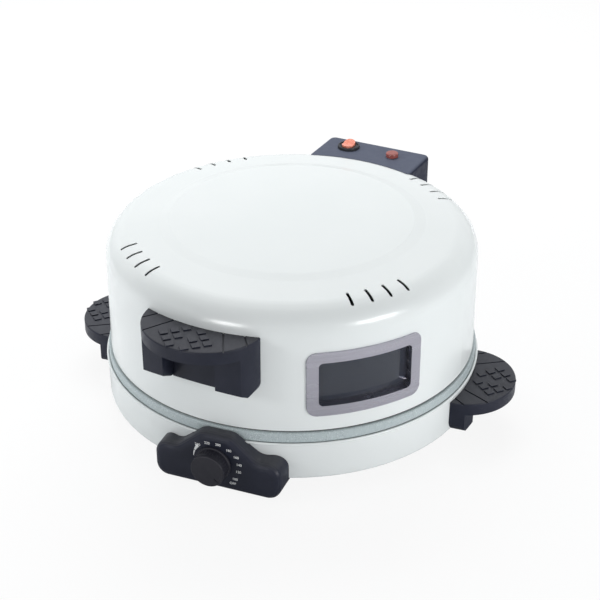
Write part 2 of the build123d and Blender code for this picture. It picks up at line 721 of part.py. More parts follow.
def leg_face(inner, half_width, low, high):
    face = Pos((inner + half_width) / 2, (low + high) / 2) * Rectangle(half_width - inner, high - low)
    outer_corner = face.vertices().group_by(Axis.X)[-1].sort_by(Axis.Y)[0]
    face = fillet(outer_corner, LEG_OUTER_CORNER)
    inner_corner = face.vertices().group_by(Axis.X)[0].sort_by(Axis.Y)[0]
    return fillet(inner_corner, LEG_INNER_CORNER)


def underside(wall_radius, low, half_width, slope):
    rise = LEG_REACH * tan(radians(slope))
    points = (
        (LEG_REACH - wall_radius, low - rise),
        (-LEG_REACH - wall_radius, low + rise),
        (-LEG_REACH - wall_radius, low - LEG_REACH),
        (LEG_REACH - wall_radius, low - LEG_REACH),
    )
    return extrude(Plane.YZ * make_face(Polyline(*points, close=True)), half_width + 10, both=True)


def side_screw_places():
    return (-SIDE_LEG_INNER - LEG_SCREW_INSET, SIDE_LEG_INNER + LEG_SCREW_INSET)


def lid_screw_places():
    return (-LID_LEG_INNER - LEG_SCREW_INSET, LID_LEG_INNER + LEG_SCREW_INSET)


def handle_skirt(outline, inner_outline, top_z):
    skirt = extrude(outline, HANDLE_SKIRT) - extrude(inner_outline, HANDLE_SKIRT)
    below_round = block((-OUTLINE_SPAN, OUTLINE_SPAN), (-OUTLINE_SPAN, 0), (0, top_z - HANDLE_EDGE_ROUND))
    return Pos(0, 0, top_z - HANDLE_SKIRT) * skirt & below_round


def handle_legs(outline, half_width, low, top_z, leg_inner, wall_radius, leg_depth, leg_slope):
    high = top_z - HANDLE_EDGE_ROUND
    zone = Pos(0, 0, low) * extrude(outline, high - low)
    zone = zone & disc(wall_radius + leg_depth, low, high)
    leg = outward_prism(leg_face(leg_inner, half_width, low, high), 100, OUTLINE_SPAN) & zone
    apron = ring(wall_radius + APRON_DEPTH, wall_radius - 12, low, high)
    apron = apron & block((-leg_inner - 1, leg_inner + 1), (-OUTLINE_SPAN, 0), (low, high))
    return leg + mirror(leg, Plane.YZ) + apron - underside(wall_radius, low, half_width, leg_slope)


def handle_pads(reach, top_z):
    centre_y = reach - PAD_CENTRE_INSET
    pads = []
    for across in range(PAD_GRID):
        for along in range(PAD_GRID):
            if across + along == PAD_GRID - 1:
                continue
            right = (across - (PAD_GRID - 1) / 2) * PAD_PITCH
            forward = (along - (PAD_GRID - 1) / 2) * PAD_PITCH
            x = (right + forward) * sqrt(0.5)
            y = (right - forward) * sqrt(0.5)
            pad = Rot(0, 0, 45) * Box(PAD_SIZE, PAD_SIZE, 2 * PAD_HEIGHT)
            pads.append(Pos(x, -centre_y + y, top_z) * pad)
    return pads


def make_handle(
    half_width, depth, reach, top_z, height, leg_inner, wall_radius, screw_z, leg_depth, leg_slope
):
    outline = handle_outline(half_width, depth, reach)
    inner_outline = handle_outline(half_width - HANDLE_WALL, depth - HANDLE_WALL, reach - HANDLE_WALL)
    top = Pos(0, 0, top_z - HANDLE_PLATE) * extrude(outline, HANDLE_PLATE)
    rim_edges = top.edges().group_by(Axis.Z)[-1].filter_by(lambda edge: edge.center().Y < -wall_radius + 20)
    top = fillet(rim_edges, HANDLE_EDGE_ROUND)
    body = top + handle_skirt(outline, inner_outline, top_z)
    low = top_z - height
    body = body + handle_legs(
        outline, half_width, low, top_z, leg_inner, wall_radius, leg_depth, leg_slope
    )
    cuts = [groove(side, *ends, reach, top_z) for side in (-1, 1) for ends in (GROOVE_INNER, GROOVE_OUTER)]
    hole_x = leg_inner + LEG_SCREW_INSET
    hole_far = wall_radius + HANDLE_HOLE_REACH
    for x in (-hole_x, hole_x):
        cuts.append(outward_rod(SCREW_RADIUS, wall_radius - 20, hole_far, x, screw_z))
    return body + handle_pads(reach, top_z) - cuts


def groove(side, start, end, reach, top_z):
    x1, inset1 = start
    x2, inset2 = end
    y1 = -(reach - inset1)
    y2 = -(reach - inset2)
    length = sqrt((x2 - x1) ** 2 + (y2 - y1) ** 2)
    turn = degrees(atan2(y2 - y1, x2 - x1))
    bar = Box(length, GROOVE_WIDTH, 2 * GROOVE_DEPTH)
    bar = Pos((x1 + x2) / 2, (y1 + y2) / 2, top_z) * Rot(0, 0, turn) * bar
    return bar if side > 0 else mirror(bar, Plane.YZ)


def lid_screw_z():
    return LID_HANDLE_TOP_Z - LID_HANDLE_HEIGHT / 2


def side_screw_z():
    return SIDE_HANDLE_TOP_Z - SIDE_HANDLE_HEIGHT / 2 - SIDE_SCREW_DROP


def side_handle_angles():
    return (BASE_CLOCK - 90.0, BASE_CLOCK + 90.0)


def make_lid_handle():
    handle = make_handle(
        LID_HANDLE_HALF_WIDTH,
        LID_HANDLE_DEPTH,
        LID_HANDLE_REACH,
        LID_HANDLE_TOP_Z,
        LID_HANDLE_HEIGHT,
        LID_LEG_INNER,
        LID_RADIUS,
        lid_screw_z(),
        LID_LEG_DEPTH,
        LID_LEG_SLOPE,
    )
    return handle - lid_body(-COVER_GAP, LID_EDGE_Z - 20)


def make_side_handle(angle):
    handle = make_handle(
        SIDE_HANDLE_HALF_WIDTH,
        SIDE_HANDLE_DEPTH,
        SIDE_HANDLE_REACH,
        SIDE_HANDLE_TOP_Z,
        SIDE_HANDLE_HEIGHT,
        SIDE_LEG_INNER,
        BASE_RADIUS,
        side_screw_z(),
        SIDE_LEG_DEPTH,
        SIDE_LEG_SLOPE,
    )
    return around(angle, handle - base_body(COVER_GAP))


def wall_depth(radius, x):
    return sqrt(radius**2 - (abs(x) + SCREW_HEAD_RADIUS) ** 2)


def make_handle_screws(angles, places, inner_radius, z):
    screws = []
    for angle in angles:
        for x in places:
            near = wall_depth(inner_radius - SEAT_GAP, x)
            screws.append(around(angle, outward_screw(near, near + HANDLE_SCREW_LENGTH, x, z)))
    return solids_of(screws)


def make_side_handle_screws():
    return make_handle_screws(side_handle_angles(), side_screw_places(), BASE_INNER_RADIUS, side_screw_z())


def make_lid_handle_screws():
    inner_radius = lid_wall_radius(lid_screw_z()) - LID_WALL
    return make_handle_screws((0.0,), lid_screw_places(), inner_radius, lid_screw_z())


# Control panel
def inset_corners(corners, inset):
    moved = []
    for index, (x, y) in enumerate(corners):
        before = corners[index - 1]
        after = corners[(index + 1) % len(corners)]
        arriving = atan2(y - before[1], x - before[0])
        leaving = atan2(after[1] - y, after[0] - x)
        half_turn = ((leaving - arriving + pi) % (2 * pi) - pi) / 2
        inward = arriving + half_turn + pi / 2
        reach = inset / cos(half_turn)
        moved.append((x + reach * cos(inward), y + reach * sin(inward)))
    return moved


def panel_outline(inset):
    left = PANEL_SHIFT - PANEL_HALF_WIDTH
    right = PANEL_SHIFT + PANEL_HALF_WIDTH
    waist = PANEL_SHOULDER_Z - PANEL_SHOULDER_DROP
    corners = (
        (left, PANEL_BOTTOM_Z),
        (right, PANEL_BOTTOM_Z),
        (right, PANEL_SHOULDER_Z),
        (PANEL_SHIFT + PANEL_HUMP_FOOT, waist),
        (PANEL_SHIFT + PANEL_HUMP_HALF_WIDTH, PANEL_HUMP_Z),
        (PANEL_SHIFT - PANEL_HUMP_HALF_WIDTH, PANEL_HUMP_Z),
        (PANEL_SHIFT - PANEL_HUMP_FOOT, waist),
        (left, PANEL_SHOULDER_Z),
    )
    corner = PANEL_CORNER - inset
    crest = PANEL_HUMP_RADIUS - inset
    bend = PANEL_WAIST_RADIUS + inset
    bends = (corner, corner, corner, bend, crest, crest, bend, corner)
    return make_face(FilletPolyline(*inset_corners(corners, inset), radius=bends, close=True))


def panel_solid(inset, near, face):
    edge_start = face - PANEL_EDGE_ROUND
    sections = []
    for step in range(PANEL_EDGE_STEPS + 1):
        turn = radians(90.0 * step / PANEL_EDGE_STEPS)
        plane = Plane((0, -edge_start - PANEL_EDGE_ROUND * sin(turn), 0), x_dir=(1, 0, 0), z_dir=(0, -1, 0))
        sections.append(plane * panel_outline(inset + PANEL_EDGE_ROUND * (1 - cos(turn))))
    return outward_prism(panel_outline(inset), near, edge_start) + loft(sections, ruled=True)


def panel_screw_places():
    return (PANEL_SHIFT - PANEL_SCREW_SPREAD, PANEL_SHIFT + PANEL_SCREW_SPREAD)


def make_control_panel():
    outer = panel_solid(0, PANEL_TUCK, PANEL_FACE)
    inner = panel_solid(PANEL_WALL, PANEL_TUCK - 10, PANEL_FACE - PANEL_WALL)
    shell = outer - inner
    for x in panel_screw_places():
        boss = outward_rod(PANEL_BOSS_RADIUS, PANEL_TUCK, PANEL_FACE - PANEL_WALL / 2, x, DIAL_Z)
        shell = shell + boss - outward_rod(SCREW_RADIUS, PANEL_TUCK, PANEL_FACE - PANEL_WALL - 3, x, DIAL_Z)
    shell = shell - outward_rod(BUSH_RADIUS + 0.4, PANEL_TUCK, PANEL_FACE + 10, DIAL_OFFSET, DIAL_Z)
    return around(PANEL_CLOCK, shell - base_body(COVER_GAP, FOOT_HEIGHT - COVER_GAP))


def make_panel_screws():
    screws = []
    for x in panel_screw_places():
        near = wall_depth(BASE_INNER_RADIUS - SEAT_GAP, x)
        screws.append(around(PANEL_CLOCK, outward_screw(near, near + PANEL_SCREW_LENGTH, x, DIAL_Z)))
    return solids_of(screws)


# Dial, thermostat and shaft
def dial_near():
    return PANEL_FACE + DIAL_GAP


def make_dial_knob():
    near = dial_near()
    far = near + DIAL_LENGTH
    profile = make_face(Polyline(
        (0, near), (DIAL_RADIUS, near), (DIAL_RADIUS, near + 2.0), (DIAL_FACE_RADIUS, near + 3.0),
        (DIAL_FACE_RADIUS, far), (0, far), close=True,
    ))
    knob = revolve(profile, Axis.Y)
    knob = Rot(180, 0, 0) * knob
    knob = fillet(knob.edges().group_by(Axis.Y)[0], 1.2)
    cut = Pos(DIAL_FACE_RADIUS + 0.25, -(near + 8), 0) * Rot(90, 0, 0) * Cylinder(DIAL_GRIP_RADIUS, 7.0)
    knob = knob - [Rot(0, 360.0 / DIAL_GRIPS * index, 0) * cut for index in range(DIAL_GRIPS)]
    bore = outward_rod(SHAFT_RADIUS + SHAFT_RUN, near - 1, far - DIAL_FRONT_WALL)
    flat_x = (SHAFT_RADIUS - SHAFT_FLAT + SHAFT_RUN, SHAFT_RADIUS + 2)
    flat = block(flat_x, (-far + DIAL_FRONT_WALL, -near + 2), (-5, 5))
    knob = knob - (bore - flat)
    mark = block((DIAL_FACE_RADIUS - 8, DIAL_FACE_RADIUS - 1.5), (-far - 1, -far + 0.6), (-0.7, 0.7))
    knob = knob - Rot(0, DIAL_MARK_TURN, 0) * mark
    return around(PANEL_CLOCK, Pos(DIAL_OFFSET, 0, DIAL_Z) * knob)


def make_thermostat_shaft():
    near = BASE_INNER_RADIUS - SHAFT_BACK
    far = dial_near() + DIAL_LENGTH - DIAL_FRONT_WALL - DIAL_GAP + SEAT_GAP
    shaft = outward_rod(SHAFT_RADIUS, near, far)
    flat = block((SHAFT_RADIUS - SHAFT_FLAT, SHAFT_RADIUS + 2), (-far - 1, -dial_near()), (-5, 5))
    return around(PANEL_CLOCK, Pos(DIAL_OFFSET, 0, DIAL_Z) * (shaft - flat))


def make_thermostat():
    front = BASE_INNER_RADIUS - THERMOSTAT_STANDOFF
    back = front - THERMOSTAT_DEPTH
    half = THERMOSTAT_WIDTH / 2
    low = DIAL_Z - THERMOSTAT_HEIGHT / 2
    high = DIAL_Z + THERMOSTAT_HEIGHT / 2
    body = block((DIAL_OFFSET - half, DIAL_OFFSET + half), (-front, -back), (low, high))
    body = fillet(body.edges().filter_by(Axis.Y), 2.0)
    body = body + outward_rod(BUSH_RADIUS, front - 1, front + BUSH_LENGTH, DIAL_OFFSET, DIAL_Z)
    well = BASE_INNER_RADIUS - SHAFT_BACK - COVER_GAP
    body = body - outward_rod(SHAFT_RADIUS + SHAFT_RUN, well, front + BUSH_LENGTH + 1, DIAL_OFFSET, DIAL_Z)
    for x in (DIAL_OFFSET - 9, DIAL_OFFSET + 9):
        body = body + block((x - 3, x + 3), (-back, -back + 7), (DIAL_Z - 0.5, DIAL_Z + 0.5))
    return around(PANEL_CLOCK, body)


def make_thermostat_nut():
    near = BASE_RADIUS + COVER_GAP
    hexagon = Pos(DIAL_OFFSET, DIAL_Z) * RegularPolygon(NUT_WIDTH / 2, 6)
    nut = outward_prism(hexagon, near, near + NUT_THICKNESS)
    return around(PANEL_CLOCK, nut - outward_rod(BUSH_RADIUS + 0.05, near - 1, near + 10, DIAL_OFFSET, DIAL_Z))


# Rear hinge
def knuckles(first):
    parts = []
    for side in (-1, 1):
        low = min(side * first, side * (first + KNUCKLE_LENGTH))
        parts.append(cross_rod(KNUCKLE_RADIUS, low, low + KNUCKLE_LENGTH))
    return parts


def hinge_screw_places():
    return (-BRACKET_SCREW_X, BRACKET_SCREW_X)


def lid_bracket_z():
    return LID_EDGE_Z + LID_BRACKET_SCREW_RISE


def arm(x_centre, points):
    face = Plane.YZ * make_face(Polyline(*points, close=True))
    return Pos(x_centre - ARM_THICKNESS / 2, 0, 0) * extrude(face, ARM_THICKNESS)


def arm_root(wall_radius, x_centre):
    near = wall_radius + SEAT_GAP
    return sqrt(near**2 - (x_centre + ARM_THICKNESS / 2) ** 2) + ARM_ROOT_BITE


def make_hinge_bracket(first, wall_radius, z_low, z_high, points):
    near = wall_radius + SEAT_GAP
    plate = ring(near + BRACKET_THICKNESS, near, z_low, z_high)
    plate = plate & block((-BRACKET_HALF_WIDTH, BRACKET_HALF_WIDTH), (0, OUTLINE_SPAN), (z_low, z_high))
    bracket = plate
    for knuckle in knuckles(first):
        bracket = bracket + knuckle
    for side in (-1, 1):
        bracket = bracket + arm(side * (first + KNUCKLE_LENGTH / 2), points)
    pin_bore = PIN_RADIUS + PIN_RUN
    bracket = bracket - cross_rod(pin_bore, -OUTLINE_SPAN, OUTLINE_SPAN)
    return bracket


def bracket_holes(z, radius):
    near = radius - 20
    return [around(180, outward_rod(SCREW_RADIUS, near, radius + 15, x, z)) for x in hinge_screw_places()]


def make_base_hinge_bracket():
    root = arm_root(BASE_RADIUS, HINGE_FIRST + KNUCKLE_LENGTH / 2)
    low = GLAND_Z - BASE_BRACKET_DROP
    high = BASE_RIM_Z - 2 * RIM_BEAD_RADIUS - 2.0
    points = (
        (root, low + 2),
        (root, high - 1),
        (HINGE_Y - ARM_TIP_OFFSET, HINGE_Z),
        (HINGE_Y, HINGE_Z),
        (HINGE_Y - ARM_TIP_OFFSET, HINGE_Z - ARM_TIP_OFFSET),
    )
    bracket = make_hinge_bracket(HINGE_FIRST, BASE_RADIUS, low, high, points)
    gland_hole = around(180, outward_rod(GLAND_THREAD_RADIUS, BASE_RADIUS - 30, HINGE_Y, 0, GLAND_Z))
    return bracket - [gland_hole] - bracket_holes(GLAND_Z, BASE_RADIUS)


def make_lid_hinge_bracket():
    first = HINGE_FIRST + HINGE_PITCH
    root = arm_root(LID_RADIUS, first + KNUCKLE_LENGTH / 2)
    low = LID_EDGE_Z + LID_BRACKET_RISE
    high = low + LID_BRACKET_HEIGHT
    points = (
        (root, low + 2),
        (root, high - 8),
        (HINGE_Y - ARM_TIP_OFFSET, HINGE_Z + ARM_TIP_OFFSET),
        (HINGE_Y, HINGE_Z),
        (HINGE_Y - ARM_TIP_OFFSET, HINGE_Z + 2),
    )
    bracket = make_hinge_bracket(first, LID_RADIUS, low, high, points)
    return bracket - bracket_holes(lid_bracket_z(), LID_RADIUS)


def hinge_span():
    return HINGE_FIRST + HINGE_PITCH + KNUCKLE_LENGTH


def make_hinge_pin():
    span = hinge_span()
    pin = cross_rod(PIN_RADIUS, -span - KNUCKLE_GAP, span + 4.0)
    pin = pin + cross_rod(PIN_HEAD_RADIUS, -span - KNUCKLE_GAP - PIN_HEAD_THICKNESS, -span - KNUCKLE_GAP)
    clip_x = span + KNUCKLE_GAP
    groove_x = clip_x + PIN_GROOVE_WIDTH
    core = cross_rod(PIN_RADIUS - PIN_GROOVE_DEPTH, clip_x, groove_x)
    return pin - (cross_rod(PIN_RADIUS + 1, clip_x, groove_x) - core)


def make_pin_clip():
    clip_x = hinge_span() + KNUCKLE_GAP + SEAT_GAP
    clip = cross_rod(PIN_HEAD_RADIUS, clip_x, clip_x + PIN_GROOVE_WIDTH - 2 * SEAT_GAP)
    clip = clip - cross_rod(PIN_RADIUS - PIN_GROOVE_DEPTH + SEAT_GAP, clip_x - 1, clip_x + 2)
    slot = block((clip_x - 1, clip_x + 2), (HINGE_Y - 2, HINGE_Y + 2), (HINGE_Z - 10, HINGE_Z))
    return clip - slot


def make_bracket_screws(wall_inner_radius, z):
    screws = []
    for x in hinge_screw_places():
        near = wall_depth(wall_inner_radius - SEAT_GAP, x)
        screws.append(around(180, outward_screw(near, near + BRACKET_SCREW_LENGTH, x, z)))
    return solids_of(screws)


# Rear housings
def notch():
    reach = hinge_span() + PIN_HEAD_THICKNESS + 4.0
    return cross_rod(KNUCKLE_RADIUS + NOTCH_CLEARANCE, -reach, reach)


def rounded_box(half_width, near, far, z_low, z_high, corner):
    box = block((-half_width, half_width), (near, far), (z_low, z_high))
    return fillet(box.edges().filter_by(Axis.Z).group_by(Axis.Y)[-1], corner)


def housing_shell(z_low, z_high, open_top):
    wall = HOUSING_WALL
    near = HOUSING_NEAR
    outer = rounded_box(HOUSING_HALF_WIDTH, near, HOUSING_REAR, z_low, z_high, HOUSING_CORNER)
    end_edges = outer.edges().group_by(Axis.Z)[0 if open_top else -1]
    outer = fillet([edge for edge in end_edges if edge.center().Y > near + 1], HOUSING_ROUND)
    inner_half = HOUSING_HALF_WIDTH - wall
    inner_rear = HOUSING_REAR - wall
    inner = rounded_box(inner_half, near - 10, inner_rear, z_low + wall, z_high - wall, HOUSING_CORNER - wall)
    return outer - inner


def make_switch_housing():
    housing = housing_shell(HINGE_Z + SPLIT_GAP / 2, HOUSING_TOP_Z, False)
    cuts = [lid_body(-COVER_GAP, LID_EDGE_Z - 20), notch()]
    cuts.append(Pos(SWITCH_X, SWITCH_Y, HOUSING_TOP_Z) * Cylinder(SWITCH_BODY_RADIUS + SEAT_GAP, 20))
    cuts.append(Pos(LAMP_X, LAMP_Y, HOUSING_TOP_Z) * Cylinder(LAMP_BODY_RADIUS + SEAT_GAP, 20))
    cuts += arm_slots(HINGE_FIRST + HINGE_PITCH, LID_RADIUS - 5, HINGE_Z - 5, HINGE_Z + 14)
    return largest(housing - cuts - housing_screw_holes(switch_screw_z()))


def arm_slots(first, y_low, z_low, z_high):
    half = ARM_THICKNESS / 2 + ARM_SLOT_CLEARANCE
    slots = []
    for side in (-1, 1):
        centre = side * (first + KNUCKLE_LENGTH / 2)
        slots.append(block((centre - half, centre + half), (y_low, HOUSING_REAR - 3), (z_low, z_high)))
    return slots


def housing_screw_holes(z):
    near = HOUSING_REAR - 10
    return [around(180, outward_rod(SCREW_RADIUS, near, near + 20, x, z)) for x in housing_screw_places()]


def largest(shape):
    return max(shape.solids(), key=lambda solid: solid.volume)


def make_base_housing():
    housing = housing_shell(HOUSING_BOTTOM_Z, HINGE_Z - SPLIT_GAP / 2, True)
    cuts = [base_body(COVER_GAP), notch()]
    gland_near = HOUSING_REAR - 10
    gland_hole = outward_rod(GLAND_THREAD_RADIUS + SEAT_GAP, gland_near, gland_near + 20, 0, GLAND_Z)
    cuts.append(around(180, gland_hole))
    cuts += arm_slots(HINGE_FIRST, BASE_RADIUS + 1.5, HINGE_Z - 8, HINGE_Z)
    return largest(housing - cuts - housing_screw_holes(base_screw_z()))


def housing_screw_places():
    return (-HOUSING_SCREW_X, HOUSING_SCREW_X)


def switch_screw_z():
    return HOUSING_TOP_Z - SWITCH_SCREW_DROP


def base_screw_z():
    return HOUSING_BOTTOM_Z + BASE_SCREW_RISE


def make_housing_screws(z, wall_radius):
    screws = []
    for x in housing_screw_places():
        head_y = HOUSING_REAR + SEAT_GAP
        tip_y = sqrt(wall_radius**2 - x**2) + 0.5
        shank = around(180, outward_rod(SCREW_RADIUS, tip_y, head_y, -x, z))
        head = around(180, outward_rod(SCREW_HEAD_RADIUS, head_y, head_y + SCREW_HEAD_HEIGHT, -x, z))
        slot = block((x - 2.5, x + 2.5), (head_y + 1.2, head_y + 4), (z - 0.5, z + 0.5))
        screws.append(shank + head - slot)
    return solids_of(screws)


# Power switch and pilot lamp
def switch_pivot_z():
    return HOUSING_TOP_Z + BEZEL_HEIGHT - ROCKER_PIVOT_DEPTH


def make_switch_body():
    top = HOUSING_TOP_Z + SEAT_GAP
    bezel = disc(BEZEL_RADIUS, top, top + BEZEL_HEIGHT)
    bezel = fillet(bezel.edges().group_by(Axis.Z)[-1], 1.0)
    body = bezel + disc(SWITCH_BODY_RADIUS, top - SWITCH_BODY_DEPTH, top)
    plan = RectangleRounded(ROCKER_WIDTH + 2 * ROCKER_GAP, ROCKER_LENGTH + 2.6 * ROCKER_GAP, ROCKER_CORNER)
    well = extrude(plan, 40.0)
    body = body - Pos(0, 0, top - SWITCH_BODY_DEPTH + 3) * well
    dish = Pos(0, 0, top + BEZEL_HEIGHT) * Cylinder(BEZEL_RADIUS - BEZEL_WALL, 1.6)
    body = body - dish
    low = top - SWITCH_BODY_DEPTH
    for x in (-4.0, 4.0):
        body = body + block((x - 2.4, x + 2.4), (-0.4, 0.4), (low - 8, low))
    return Pos(SWITCH_X, SWITCH_Y, 0) * body


def make_rocker_button():
    pivot = switch_pivot_z()
    half = ROCKER_LENGTH / 2
    low = -ROCKER_DROP
    side = make_face(Polyline(
        (-half + 1.2, low), (half - 1.2, low), (half, ROCKER_RISE),
        (0, ROCKER_RISE - 2.2), (-half, ROCKER_RISE), close=True,
    ))
    button = Pos(-ROCKER_WIDTH / 2, 0, 0) * extrude(Plane.YZ * side, ROCKER_WIDTH)
    plan = Pos(0, 0, -20) * extrude(RectangleRounded(ROCKER_WIDTH, ROCKER_LENGTH, ROCKER_CORNER), 40.0)
    button = button & plan
    button = Rot(ROCKER_TILT, 0, 0) * button
    return Pos(SWITCH_X, SWITCH_Y, pivot) * button


def make_lamp_lens():
    top = HOUSING_TOP_Z + SEAT_GAP
    lens = disc(LAMP_RADIUS, top, top + LAMP_HEIGHT)
    lens = fillet(lens.edges().group_by(Axis.Z)[-1], 1.5)
    return Pos(LAMP_X, LAMP_Y, 0) * lens


def make_lamp_body():
    top = HOUSING_TOP_Z
    body = disc(LAMP_BODY_RADIUS, top - LAMP_BODY_DEPTH, top)
    body = body + disc(LAMP_BODY_RADIUS + 2.5, top - HOUSING_WALL - 2.6, top - HOUSING_WALL - SEAT_GAP)
    for x in (-2.5, 2.5):
        body = body + block((x - 1, x + 1), (-0.4, 0.4), (top - LAMP_BODY_DEPTH - 7, top - LAMP_BODY_DEPTH))
    return Pos(LAMP_X, LAMP_Y, 0) * body


# Mains inlet, terminal block and leads
def make_cord_gland():
    inner = HOUSING_REAR - HOUSING_WALL - GLAND_NUT_THICKNESS - 3
    thread = outward_rod(GLAND_THREAD_RADIUS, inner, HOUSING_REAR + 1)
    flange = outward_rod(GLAND_HEAD_RADIUS, HOUSING_REAR + SEAT_GAP, HOUSING_REAR + 4)
    dome = outward_rod(GLAND_HEAD_RADIUS - 1.8, HOUSING_REAR + 4, HOUSING_REAR + GLAND_LENGTH)
    dome = fillet(dome.edges().group_by(Axis.Y)[0], 3.0)
    gland = thread + flange + dome - outward_rod(GLAND_BORE, inner - 1, HOUSING_REAR + GLAND_LENGTH + 1)
    return around(180, Pos(0, 0, GLAND_Z) * gland)


def make_gland_nut():
    far = HOUSING_REAR - HOUSING_WALL - SEAT_GAP
    near = far - GLAND_NUT_THICKNESS
    nut = outward_prism(RegularPolygon(GLAND_NUT_RADIUS, 6), near, far)
    nut = nut - outward_rod(GLAND_THREAD_RADIUS + 0.05, near - 1, far + 1)
    return around(180, Pos(0, 0, GLAND_Z) * nut)


def make_terminal_block():
    low = BOTTOM_PLATE_TOP_Z + SEAT_GAP
    across = (BLOCK_NEAR, BLOCK_NEAR + BLOCK_WIDTH)
    body = block((-BLOCK_LENGTH / 2, BLOCK_LENGTH / 2), across, (low, low + BLOCK_HEIGHT))
    body = fillet(body.edges().filter_by(Axis.Z), 1.5)
    for index in range(3):
        x = (index - 1) * BLOCK_LENGTH / 3
        body = body - Pos(x, BLOCK_NEAR + BLOCK_WIDTH / 2, low + BLOCK_HEIGHT) * Cylinder(3.0, 8.0)
    return body


def make_supply_lead():
    thermostat_edge = PANEL_CLOCK + degrees(asin((THERMOSTAT_WIDTH / 2 + 6) / LEAD_CIRCLE))
    block_edge = 180 - degrees(asin((BLOCK_LENGTH / 2 + 1) / LEAD_CIRCLE))
    arc = CenterArc((0, 0, LEAD_Z), LEAD_CIRCLE, thermostat_edge - 90, block_edge - thermostat_edge)
    start = Plane(origin=arc @ 0, z_dir=arc % 0)
    return sweep(start * Circle(LEAD_RADIUS), path=arc)


def make_lead_clips():
    clips = []
    for index in range(LEAD_CLIP_COUNT):
        angle = BASE_CLOCK + 45.0 * (index + 1)
        low = BOTTOM_PLATE_TOP_Z
        outer = LEAD_RADIUS + SEAT_GAP + 1.2
        body = block((-3, 3), (-LEAD_CIRCLE - outer, -LEAD_CIRCLE + outer), (low, LEAD_Z + outer))
        body = body - Pos(0, -LEAD_CIRCLE, LEAD_Z) * Rot(0, 90, 0) * Cylinder(LEAD_RADIUS + SEAT_GAP, 20)
        clips.append(around(angle, body))
    return solids_of(clips)


def lid_lead_z():
    return HOUSING_TOP_Z - LID_LEAD_DROP


def make_lid_leads():
    angle = upper_terminal_angle()
    z = lid_lead_z()
    start = sqrt(SWITCH_X**2 + SWITCH_Y**2) - SWITCH_BODY_RADIUS - COVER_GAP
    leads = []
    for side in (-1, 1):
        points = (
            place(angle, start, z, side * LID_LEAD_OFFSET),
            place(angle, LID_LEAD_REACH + 3 * LEAD_BEND, z, side * LID_LEAD_OFFSET),
            place(angle, LID_LEAD_REACH, z, side * TERMINAL_OFFSET),
            place(angle, LID_LEAD_REACH, UPPER_ELEMENT_Z, side * TERMINAL_OFFSET),
            place(angle, UPPER_LEG_END + PIN_LENGTH + SEAT_GAP, UPPER_ELEMENT_Z, side * TERMINAL_OFFSET),
        )
        leads.append(bent_tube(LEAD_RADIUS, points, LEAD_BEND))
    return solids_of(leads)


def make_element_leads():
    angle = lower_terminal_angle()
    near = LOWER_LEG_END + PIN_LENGTH + SEAT_GAP
    far = near + 1.5 * LEAD_BEND
    flank = DIAL_OFFSET + THERMOSTAT_WIDTH / 2 + COVER_GAP
    side = BLOCK_LENGTH / 2 + COVER_GAP
    ends = []
    for x in (-TERMINAL_OFFSET, TERMINAL_OFFSET):
        down = [place(angle, near, LOWER_ELEMENT_Z, x), place(angle, far, LOWER_ELEMENT_Z, x)]
        ends.append(down + [place(angle, far, ELEMENT_LEAD_Z, x)])
    to_thermostat = ends[0] + [place(PANEL_CLOCK, LEAD_CIRCLE, ELEMENT_LEAD_Z, flank + x) for x in (28.0, 0.0)]
    turns = [angle + step * (180.0 - angle) / 7.0 for step in range(1, 7)]
    to_block = ends[1] + [place(turn, LEAD_CIRCLE, ELEMENT_LEAD_Z) for turn in turns]
    to_block.append((side, BLOCK_NEAR + BLOCK_WIDTH / 2, ELEMENT_LEAD_Z))
    return solids_of([bent_tube(LEAD_RADIUS, points, LEAD_BEND) for points in (to_thermostat, to_block)])


